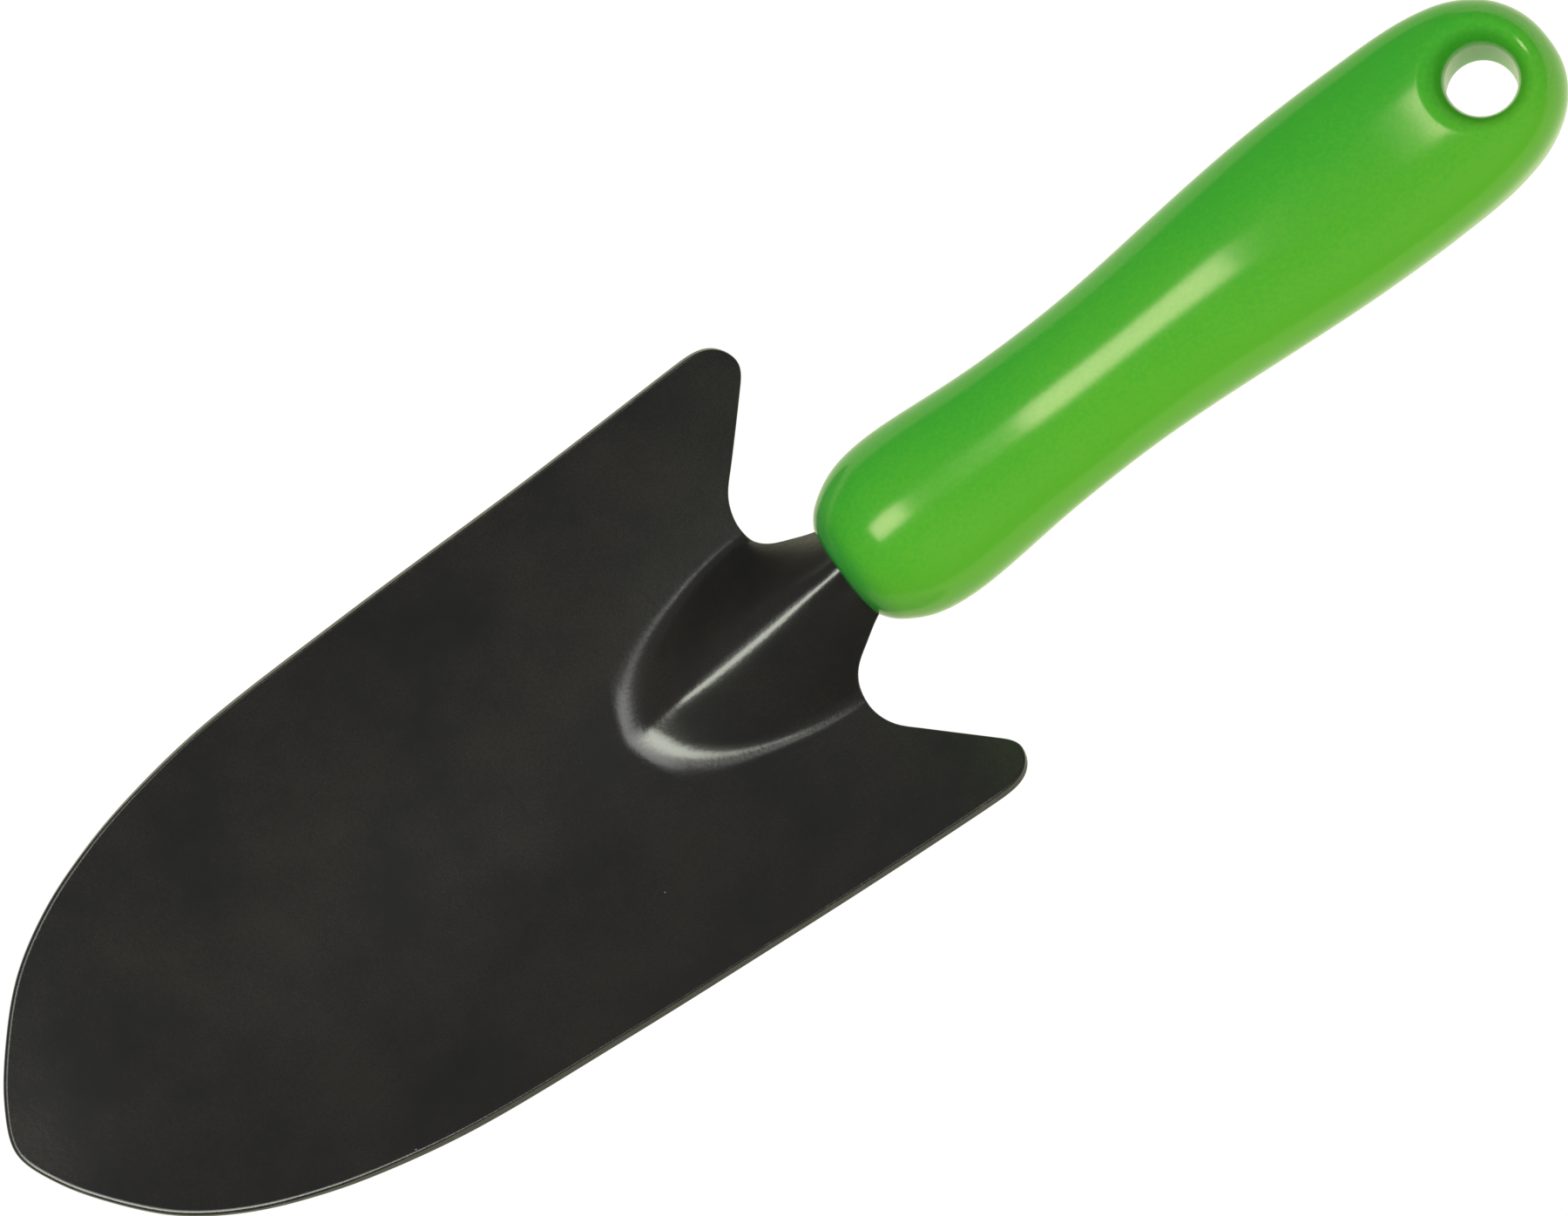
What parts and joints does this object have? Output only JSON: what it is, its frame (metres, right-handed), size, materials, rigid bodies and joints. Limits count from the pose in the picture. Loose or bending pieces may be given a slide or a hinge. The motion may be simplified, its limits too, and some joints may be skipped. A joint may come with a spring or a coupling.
{
  "type": "hand trowel",
  "caption": "Hand trowel for potting and planting: a hollow pointed black-coated steel blade with a raised rib and tang in a waisted green plastic grip with a hang hole.",
  "frame": {"origin": "centre of the hang hole, halfway through the grip", "axes": "+X along the grip toward its butt end (the blade points to -X), +Z along the hang hole on the hollow side of the blade, +Y completes a right-handed frame; the plane y = 0 is the plane of symmetry"},
  "size_m": [0.2646, 0.0794, 0.0398],
  "materials": {
    "blade_coat": "satin black powder coat on pressed steel",
    "handle_plastic": "glossy moulded plastic, leaf green"
  },
  "bodies": {
    "root": {"blade": "blade_coat", "handle": "handle_plastic"}
  },
  "joints": []
}
